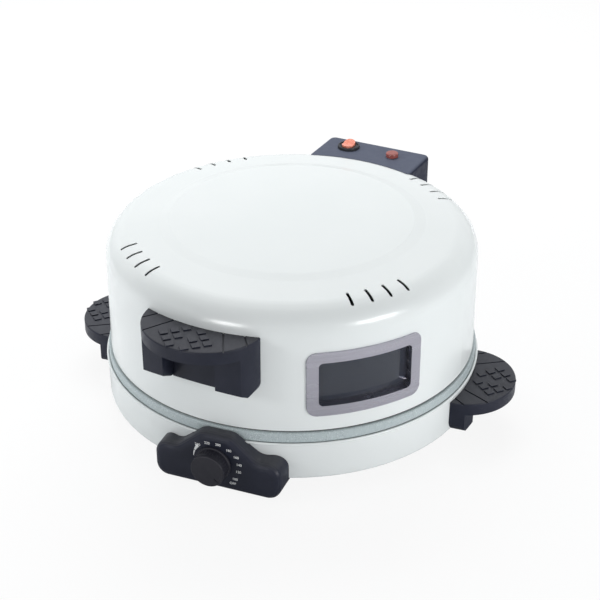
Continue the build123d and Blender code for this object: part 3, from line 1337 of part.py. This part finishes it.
PARTS = {
    "base_shell": make_base_shell(),
    "bottom_plate": make_bottom_plate(),
    "foot_screws": make_foot_screws(),
    "baking_plate": make_baking_plate(),
    "lower_reflector": make_lower_reflector(),
    "lower_reflector_posts": make_lower_posts(),
    "lower_element": make_lower_element(),
    "lower_element_clips": make_lower_clips(),
    "lower_terminals": make_terminals(lower_terminal_angle(), LOWER_LEG_END, LOWER_ELEMENT_Z),
    "thermostat": make_thermostat(),
    "thermostat_nut": make_thermostat_nut(),
    "thermostat_shaft": make_thermostat_shaft(),
    "dial_knob": make_dial_knob(),
    "control_panel": make_control_panel(),
    "control_panel_screws": make_panel_screws(),
    "side_handle_left": make_side_handle(side_handle_angles()[0]),
    "side_handle_right": make_side_handle(side_handle_angles()[1]),
    "side_handle_screws": make_side_handle_screws(),
    "base_hinge_bracket": make_base_hinge_bracket(),
    "base_hinge_screws": make_bracket_screws(BASE_INNER_RADIUS, GLAND_Z),
    "hinge_pin": make_hinge_pin(),
    "hinge_pin_clip": make_pin_clip(),
    "base_hinge_housing": make_base_housing(),
    "base_housing_screws": make_housing_screws(base_screw_z(), BASE_RADIUS),
    "cord_gland": make_cord_gland(),
    "gland_nut": make_gland_nut(),
    "terminal_block": make_terminal_block(),
    "supply_lead": make_supply_lead(),
    "supply_lead_clips": make_lead_clips(),
    "element_leads": make_element_leads(),
    "lid_shell": make_lid_shell(),
    "lid_seal": make_lid_seal(),
    "upper_reflector": make_upper_reflector(),
    "upper_reflector_posts": make_upper_posts(),
    "upper_element": make_upper_element(),
    "upper_element_clips": make_upper_clips(),
    "upper_terminals": make_terminals(upper_terminal_angle(), UPPER_LEG_END, UPPER_ELEMENT_Z),
    "window_frame": make_window_frame(),
    "window_gasket": make_window_gasket(),
    "window_glass": make_window_glass(),
    "window_retainer": make_window_retainer(),
    "lid_handle": make_lid_handle(),
    "lid_handle_screws": make_lid_handle_screws(),
    "lid_hinge_bracket": make_lid_hinge_bracket(),
    "lid_hinge_screws": make_bracket_screws(lid_wall_radius(lid_bracket_z()) - LID_WALL, lid_bracket_z()),
    "switch_housing": make_switch_housing(),
    "switch_housing_screws": make_housing_screws(switch_screw_z(), LID_RADIUS),
    "switch_body": make_switch_body(),
    "rocker_button": make_rocker_button(),
    "pilot_lamp_lens": make_lamp_lens(),
    "pilot_lamp_body": make_lamp_body(),
    "lid_leads": make_lid_leads(),
}
for number, angle in enumerate(foot_angles(), start=1):
    PARTS[f"rubber_foot_{number}"] = make_foot(angle)

os.makedirs("parts", exist_ok=True)
for node, shape in PARTS.items():
    export_step(shape, f"parts/{node}.step")
    print(node, len(shape.solids()), round(sum(solid.volume for solid in shape.solids())))
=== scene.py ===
import json
import math

import bmesh
import bpy
from mathutils import Matrix, Vector


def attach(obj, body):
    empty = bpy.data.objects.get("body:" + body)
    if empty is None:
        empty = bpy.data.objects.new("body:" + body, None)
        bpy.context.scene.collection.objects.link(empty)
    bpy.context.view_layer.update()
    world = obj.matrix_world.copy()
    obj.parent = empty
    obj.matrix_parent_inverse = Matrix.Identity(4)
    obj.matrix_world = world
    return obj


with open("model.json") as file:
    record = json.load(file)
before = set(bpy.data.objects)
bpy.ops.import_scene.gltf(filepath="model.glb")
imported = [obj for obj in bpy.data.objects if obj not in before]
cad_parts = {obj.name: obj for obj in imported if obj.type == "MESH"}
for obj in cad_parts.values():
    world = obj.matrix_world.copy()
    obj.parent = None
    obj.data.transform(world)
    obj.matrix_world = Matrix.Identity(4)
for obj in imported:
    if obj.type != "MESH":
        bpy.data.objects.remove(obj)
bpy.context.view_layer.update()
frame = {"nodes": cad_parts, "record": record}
scene = bpy.context.scene

# Sizes shared with the part, in metres
LID_EDGE_Z = 0.076
PANEL_FACE = 0.229
PANEL_CLOCK = math.radians(5.7)
DIAL_X = 0.0016
DIAL_Z = 0.0385

# Height of the finest surface grain, in metres
GRAIN_HEIGHT = 0.0002

# Sockets of the node that mixes two colours
MIX_FACTOR = 0
MIX_FIRST = 6
MIX_SECOND = 7
MIX_RESULT = 2


# Material with its nodes and the few joins that every finish uses
class Mat:
    def __init__(self, name, colour, **sockets):
        self.material = bpy.data.materials.new(name)
        self.material.use_nodes = True
        self.tree = self.material.node_tree
        self.shader = self.tree.nodes["Principled BSDF"]
        self.shader.inputs["Base Color"].default_value = (*colour, 1.0)
        for socket, value in sockets.items():
            self.shader.inputs[socket.replace("_", " ")].default_value = value
        self.places = self.add("ShaderNodeTexCoord")
        self.coords = self.places.outputs["Object"]

    def add(self, kind, **values):
        node = self.tree.nodes.new(kind)
        for key, value in values.items():
            if hasattr(node, key):
                setattr(node, key, value)
            else:
                node.inputs[key.replace("_", " ")].default_value = value
        return node

    def join(self, source, target):
        self.tree.links.new(source, target)

    def mapped(self, scale):
        node = self.add("ShaderNodeMapping", Scale=scale)
        self.join(self.coords, node.inputs["Vector"])
        return node.outputs["Vector"]

    def noise(self, scale, detail=2.0, roughness=0.5, vector=None):
        node = self.add("ShaderNodeTexNoise", Scale=scale, Detail=detail, Roughness=roughness)
        self.join(vector or self.coords, node.inputs["Vector"])
        return node.outputs["Fac"]

    def cells(self, scale, output="Distance"):
        node = self.add("ShaderNodeTexVoronoi", Scale=scale)
        self.join(self.coords, node.inputs["Vector"])
        return node.outputs[output]

    def ramp(self, fac, stops):
        node = self.add("ShaderNodeValToRGB")
        band = node.color_ramp
        while len(band.elements) < len(stops):
            band.elements.new(0.5)
        for element, (place, colour) in zip(band.elements, stops):
            element.position = place
            element.color = (*colour, 1.0)
        self.join(fac, node.inputs["Fac"])
        return node.outputs["Color"]

    def span(self, fac, low, high, to_low, to_high):
        node = self.add("ShaderNodeMapRange")
        for socket, value in zip(("From Min", "From Max", "To Min", "To Max"), (low, high, to_low, to_high)):
            node.inputs[socket].default_value = value
        self.join(fac, node.inputs["Value"])
        return node.outputs["Result"]

    def mix(self, fac, first, second):
        node = self.add("ShaderNodeMix", data_type="RGBA")
        for value, slot in ((fac, MIX_FACTOR), (first, MIX_FIRST), (second, MIX_SECOND)):
            if isinstance(value, tuple):
                node.inputs[slot].default_value = (*value, 1.0)
            else:
                self.join(value, node.inputs[slot])
        return node.outputs[MIX_RESULT]

    # Mask of faces that look up, by their normal, which places the painted sheen on the plastics
    def facing_up(self, low, high):
        split = self.add("ShaderNodeSeparateXYZ")
        self.join(self.places.outputs["Normal"], split.inputs["Vector"])
        return self.span(split.outputs["Z"], low, high, 0.0, 1.0)

    def colour(self, source):
        self.join(source, self.shader.inputs["Base Color"])

    def rough(self, source):
        self.join(source, self.shader.inputs["Roughness"])

    def bump(self, height, strength):
        node = self.add("ShaderNodeBump", Strength=strength, Distance=GRAIN_HEIGHT)
        self.join(height, node.inputs["Height"])
        self.join(node.outputs["Normal"], self.shader.inputs["Normal"])


def shaded(colour, factor):
    return tuple(min(1.0, channel * factor) for channel in colour)


# Painted and coated metal
def enamel():
    m = Mat("white_enamel", (0.80, 0.84, 0.85), Roughness=0.24)
    m.colour(m.ramp(m.noise(7.0), ((0.3, (0.805, 0.845, 0.845)), (0.7, (0.83, 0.865, 0.865)))))
    m.rough(m.span(m.noise(30.0, 3.0), 0.3, 0.7, 0.21, 0.27))
    m.bump(m.noise(260.0), 0.02)
    return m.material


def speckled():
    m = Mat("speckled_coating", (0.36, 0.42, 0.43), Roughness=0.5)
    ground = m.ramp(m.noise(900.0, 3.0, 0.7), ((0.3, (0.37, 0.44, 0.46)), (0.7, (0.55, 0.62, 0.63))))
    flecks = m.ramp(m.cells(620.0), ((0.0, (1, 1, 1)), (0.16, (1, 1, 1)), (0.22, (0, 0, 0))))
    dark = m.ramp(m.cells(540.0), ((0.0, (1, 1, 1)), (0.12, (1, 1, 1)), (0.18, (0, 0, 0))))
    m.colour(m.mix(flecks, m.mix(dark, ground, (0.16, 0.19, 0.20)), (0.82, 0.86, 0.86)))
    m.rough(m.span(m.noise(500.0), 0.3, 0.7, 0.38, 0.6))
    m.bump(m.noise(1500.0), 0.12)
    return m.material


# Bare metal
def brushed(name, colour, roughness, stretch, spread=0.12):
    m = Mat(name, colour, Roughness=roughness, Metallic=1.0)
    lines = m.noise(1.0, 4.0, 0.6, m.mapped(stretch))
    m.colour(m.ramp(lines, ((0.3, shaded(colour, 1 - spread)), (0.7, shaded(colour, 1 + spread)))))
    m.rough(m.span(lines, 0.3, 0.7, roughness - 0.08, roughness + 0.10))
    m.bump(lines, 0.06)
    return m.material


def sheet_metal(name, colour, roughness=0.35):
    m = Mat(name, colour, Roughness=roughness, Metallic=1.0)
    value = m.add("ShaderNodeRGBToBW")
    m.join(m.cells(95.0, "Color"), value.inputs["Color"])
    m.colour(m.ramp(value.outputs["Val"], ((0.2, shaded(colour, 0.88)), (0.8, shaded(colour, 1.12)))))
    m.rough(m.span(m.noise(70.0, 3.0), 0.3, 0.7, roughness - 0.08, roughness + 0.1))
    return m.material


def heater_sheath():
    m = Mat("element_sheath", (0.2, 0.18, 0.17), Roughness=0.45, Metallic=1.0)
    tints = ((0.3, (0.12, 0.11, 0.12)), (0.55, (0.24, 0.20, 0.16)), (0.8, (0.20, 0.20, 0.26)))
    m.colour(m.ramp(m.noise(28.0, 4.0), tints))
    m.bump(m.noise(1800.0), 0.15)
    return m.material


# Plastic, rubber, glass and cloth, where painted_top_sheen is a painted sheen: a lighter colour painted on
# faces that look up, in place of light falling on their tops
def plastic(name, colour, tint, roughness, grain=2200.0, shine=0.35, painted_top_sheen=None):
    m = Mat(name, colour, Roughness=roughness, Specular_IOR_Level=shine)
    shade = m.ramp(m.noise(35.0, 4.0), ((0.3, colour), (0.75, tint)))
    # Faces that look up are painted lighter, a painted sheen rather than the plastic's own colour
    if painted_top_sheen:
        shade = m.mix(m.facing_up(0.55, 0.92), shade, painted_top_sheen)
    m.colour(shade)
    m.rough(m.span(m.noise(160.0, 3.0), 0.3, 0.7, roughness - 0.05, roughness + 0.07))
    m.bump(m.noise(grain), 0.12)
    return m.material


def lit_plastic(name, colour, deep):
    m = Mat(name, colour, Roughness=0.22, Coat_Weight=0.3, Coat_Roughness=0.1)
    m.colour(m.ramp(m.noise(240.0), ((0.3, deep), (0.7, colour))))
    m.bump(m.noise(900.0), 0.03)
    return m.material


def rubber(name, colour):
    m = Mat(name, colour, Roughness=0.75, Specular_IOR_Level=0.3)
    m.colour(m.ramp(m.noise(120.0, 3.0), ((0.3, colour), (0.7, shaded(colour, 1.6)))))
    m.bump(m.noise(1600.0, 3.0), 0.2)
    return m.material


def smoked_glass():
    m = Mat("window_glass", (0.28, 0.31, 0.38), Roughness=0.02, IOR=1.5, Transmission_Weight=0.9)
    m.colour(m.ramp(m.noise(9.0), ((0.3, (0.19, 0.22, 0.30)), (0.7, (0.26, 0.29, 0.38)))))
    m.rough(m.span(m.noise(14.0, 3.0), 0.35, 0.75, 0.015, 0.05))
    return m.material


def woven_sleeve():
    m = Mat("wire_sleeve", (0.75, 0.73, 0.66), Roughness=0.8)
    m.colour(m.ramp(m.cells(1400.0), ((0.1, (0.60, 0.58, 0.50)), (0.6, (0.80, 0.78, 0.72)))))
    m.bump(m.cells(1400.0), 0.3)
    return m.material


# One finish for each slot of the record
MATERIALS = {
    "white_enamel": enamel(),
    "speckled_coating": speckled(),
    # The charcoal and slate plastics carry a painted sheen, a lighter colour on faces that look up
    "charcoal_plastic": plastic(
        "charcoal_plastic", (0.0135, 0.016, 0.028), (0.020, 0.0225, 0.038), 0.42, shine=0.22,
        painted_top_sheen=(0.054, 0.056, 0.066),
    ),
    "slate_plastic": plastic(
        "slate_plastic", (0.012, 0.015, 0.034), (0.018, 0.022, 0.042), 0.5, shine=0.15,
        painted_top_sheen=(0.095, 0.108, 0.150),
    ),
    "knob_plastic": plastic("knob_plastic", (0.010, 0.010, 0.017), (0.016, 0.016, 0.023), 0.5),
    "galvanised_steel": sheet_metal("galvanised_steel", (0.62, 0.64, 0.66)),
    "aluminised_steel": sheet_metal("aluminised_steel", (0.74, 0.75, 0.76), 0.22),
    "element_sheath": heater_sheath(),
    "zinc_steel": brushed("zinc_steel", (0.60, 0.60, 0.58), 0.32, (300, 300, 300)),
    "stainless_frame": brushed("stainless_frame", (0.44, 0.43, 0.485), 0.22, (9, 9, 420), 0.05),
    "brass": brushed("brass", (0.72, 0.55, 0.26), 0.3, (300, 300, 300)),
    "window_glass": smoked_glass(),
    "silicone": rubber("silicone", (0.05, 0.05, 0.05)),
    "foot_rubber": rubber("foot_rubber", (0.02, 0.02, 0.02)),
    "lamp_red": lit_plastic("lamp_red", (0.36, 0.10, 0.085), (0.30, 0.075, 0.06)),
    "rocker_orange": lit_plastic("rocker_orange", (0.92, 0.33, 0.23), (0.84, 0.27, 0.18)),
    "switch_black": plastic("switch_black", (0.02, 0.021, 0.025), (0.03, 0.031, 0.036), 0.35),
    "ceramic": plastic("ceramic", (0.66, 0.63, 0.56), (0.74, 0.71, 0.65), 0.6, 1200.0),
    "wire_sleeve": woven_sleeve(),
}
PRINT_WHITE = plastic("print_white", (0.85, 0.86, 0.86), (0.80, 0.81, 0.82), 0.5)

slot_of = {row["node"]: row["material_slot"] for row in frame["record"]["subparts"]}
for name, node in frame["nodes"].items():
    node.data.materials.clear()
    node.data.materials.append(MATERIALS[slot_of[name]])

# Printed scale on the control panel, with each label's place across and above the table in millimetres
SCALE = (
    ("240", -16.4, 57.3), ("220", -5.4, 61.7), ("200", 7.2, 62.5), ("180", 19.2, 58.1), ("160", 27.5, 51.5),
    ("140", 30.7, 42.7), ("120", 29.8, 33.5), ("100", 25.7, 23.2), ("OFF", 23.1, 17.2),
)
MILLIMETRES = 1000
LETTER_SIZE = 0.0042
LETTER_HALF_THICKNESS = 0.00004
LETTER_SWELL = 0.00006
LETTER_LIFT = 0.00008
WEDGE_THICKNESS = 0.00008
WEDGE_LIFT = 0.00003
WEDGE_INNER = 0.0232
WEDGE_STEPS = 10


def print_on_panel(name, data, x, z, lift):
    data.materials.append(PRINT_WHITE)
    piece = bpy.data.objects.new(name, data)
    scene.collection.objects.link(piece)
    place = Matrix.Translation((x, -(PANEL_FACE + lift), z)) @ Matrix.Rotation(math.pi / 2, 4, "X")
    piece.matrix_world = Matrix.Rotation(PANEL_CLOCK, 4, "Z") @ place
    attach(piece, "base")


def label(name, text, x, z):
    curve = bpy.data.curves.new(name, "FONT")
    curve.body = text
    curve.size = LETTER_SIZE
    curve.align_x = "CENTER"
    curve.align_y = "CENTER"
    curve.extrude = LETTER_HALF_THICKNESS
    curve.offset = LETTER_SWELL
    print_on_panel(name, curve, x, z, LETTER_LIFT)


def arc(start, end, radius_start, radius_end):
    points = []
    for step in range(WEDGE_STEPS + 1):
        part = step / WEDGE_STEPS
        turn = math.radians(start + (end - start) * part)
        radius = radius_start + (radius_end - radius_start) * part
        points.append((math.cos(turn) * radius, math.sin(turn) * radius))
    return points


def wedge(name, start, end, outer_start, outer_end):
    ring = arc(start, end, outer_start, outer_end) + arc(start, end, WEDGE_INNER, WEDGE_INNER)[::-1]
    bm = bmesh.new()
    face = bm.faces.new([bm.verts.new((x, z, 0.0)) for x, z in ring])
    raised = bmesh.ops.extrude_face_region(bm, geom=[face])
    tops = [item for item in raised["geom"] if isinstance(item, bmesh.types.BMVert)]
    bmesh.ops.translate(bm, verts=tops, vec=(0, 0, WEDGE_THICKNESS))
    bmesh.ops.recalc_face_normals(bm, faces=bm.faces)
    mesh = bpy.data.meshes.new(name)
    bm.to_mesh(mesh)
    bm.free()
    print_on_panel(name, mesh, DIAL_X, DIAL_Z, WEDGE_LIFT)


for text, x, z in SCALE:
    label(f"scale_{text}", text, x / MILLIMETRES, z / MILLIMETRES)
wedge("scale_wedge_wide", 135.0, 152.0, 0.0268, 0.0254)
wedge("scale_wedge_narrow", 154.0, 171.0, 0.0252, 0.0237)

# Floor and surroundings, where a camera ray sees white and a mirrored ray a pale sky
FLOOR_GLOW = 0.89
FLOOR_HALF_WIDTH = 30.0
AMBIENT = 0.27
MIRRORED_SKY = 0.70


def blended(tree, factor, first, second):
    node = tree.nodes.new("ShaderNodeMixShader")
    for source, target in zip((factor, first, second), node.inputs):
        tree.links.new(source, target)
    return node.outputs[0]


def white_ground():
    material = bpy.data.materials.new("studio_floor")
    material.use_nodes = True
    tree = material.node_tree
    shader = tree.nodes["Principled BSDF"]
    shader.inputs["Base Color"].default_value = (0.88, 0.89, 0.90, 1.0)
    shader.inputs["Roughness"].default_value = 0.9
    shader.inputs["Specular IOR Level"].default_value = 0.1
    glow = tree.nodes.new("ShaderNodeEmission")
    path = tree.nodes.new("ShaderNodeLightPath")
    factor = tree.nodes.new("ShaderNodeMath")
    factor.operation = "MULTIPLY"
    factor.inputs[1].default_value = FLOOR_GLOW
    tree.links.new(path.outputs["Is Camera Ray"], factor.inputs[0])
    surface = blended(tree, factor.outputs[0], shader.outputs[0], glow.outputs[0])
    tree.links.new(surface, tree.nodes["Material Output"].inputs["Surface"])
    return material


def add_floor():
    half = FLOOR_HALF_WIDTH
    mesh = bpy.data.meshes.new("floor")
    corners = [(-half, -half, 0), (half, -half, 0), (half, half, 0), (-half, half, 0)]
    mesh.from_pydata(corners, [], [(0, 1, 2, 3)])
    mesh.materials.append(white_ground())
    floor = bpy.data.objects.new("floor", mesh)
    scene.collection.objects.link(floor)


def sky(tree, colour, strength):
    node = tree.nodes.new("ShaderNodeBackground")
    node.inputs["Color"].default_value = (*colour, 1.0)
    node.inputs["Strength"].default_value = strength
    return node.outputs[0]


def add_surroundings():
    scene.world = bpy.data.worlds.new("studio")
    scene.world.use_nodes = True
    tree = scene.world.node_tree
    tree.nodes.remove(tree.nodes["Background"])
    path = tree.nodes.new("ShaderNodeLightPath")
    ambient = sky(tree, (0.97, 0.985, 1.0), AMBIENT)
    mirrored = sky(tree, (0.97, 0.98, 1.0), MIRRORED_SKY)
    unseen = blended(tree, path.outputs["Is Glossy Ray"], ambient, mirrored)
    surface = blended(tree, path.outputs["Is Camera Ray"], unseen, sky(tree, (1.0, 1.0, 1.0), 1.0))
    tree.links.new(surface, tree.nodes["World Output"].inputs["Surface"])


add_floor()
add_surroundings()

# Lamps, each by its direction in degrees, its distance and size in metres and its power in watts
LAMP_TARGET = Vector((0, 0, 0.12))


def direction(azimuth, elevation):
    turn = math.radians(azimuth)
    lift = math.radians(elevation)
    return Vector((math.cos(lift) * math.sin(turn), -math.cos(lift) * math.cos(turn), math.sin(lift)))


def softbox(name, azimuth, elevation, distance, size, watts, mirrored=True, diffuse=True):
    away = direction(azimuth, elevation)
    light = bpy.data.lights.new(name, "AREA")
    light.shape = "RECTANGLE"
    light.size, light.size_y = size
    light.energy = watts
    lamp = bpy.data.objects.new(name, light)
    lamp.location = LAMP_TARGET + distance * away
    lamp.rotation_euler = (-away).to_track_quat("-Z", "Y").to_euler()
    lamp.visible_glossy = mirrored
    lamp.visible_diffuse = diffuse
    scene.collection.objects.link(lamp)


softbox("back_box", 206.0, 50.0, 2.0, (1.6, 1.0), 34, mirrored=False)
softbox("side_box", 262.0, 30.0, 2.0, (1.2, 0.8), 7, mirrored=False)
softbox("left_box", -8.0, 10.0, 1.9, (0.5, 0.34), 11, diffuse=False)
softbox("left_fill", -44.0, 20.0, 1.9, (0.9, 0.5), 10, mirrored=False)
softbox("right_box", 74.0, 10.0, 1.9, (0.8, 0.40), 15.5)

# Camera, as fitted to the photograph's ellipses, with its focal length and shifts in pixels of the frame
FRAME_PIXELS = 600.0
FOCAL_PIXELS = 1432.2
SHIFT_RIGHT_PIXELS = 7.68
SHIFT_UP_PIXELS = 28.98
SENSOR_WIDTH = 36.0
CAMERA_DISTANCE = 1.6725
CAMERA_ROLL = math.radians(-0.18)
FAR_CLIP = 100.0


def add_camera():
    away = direction(27.4, 30.42)
    lens = bpy.data.cameras.new("camera")
    lens.sensor_width = SENSOR_WIDTH
    lens.lens = SENSOR_WIDTH * FOCAL_PIXELS / FRAME_PIXELS
    lens.shift_x = SHIFT_RIGHT_PIXELS / FRAME_PIXELS
    lens.shift_y = SHIFT_UP_PIXELS / FRAME_PIXELS
    lens.clip_end = FAR_CLIP
    camera = bpy.data.objects.new("camera", lens)
    camera.matrix_world = (
        Matrix.Translation(Vector((0, 0, LID_EDGE_Z)) + CAMERA_DISTANCE * away)
        @ (-away).to_track_quat("-Z", "Y").to_matrix().to_4x4()
        @ Matrix.Rotation(CAMERA_ROLL, 4, "Z")
    )
    scene.collection.objects.link(camera)
    scene.camera = camera


add_camera()
scene.view_settings.view_transform = "Standard"
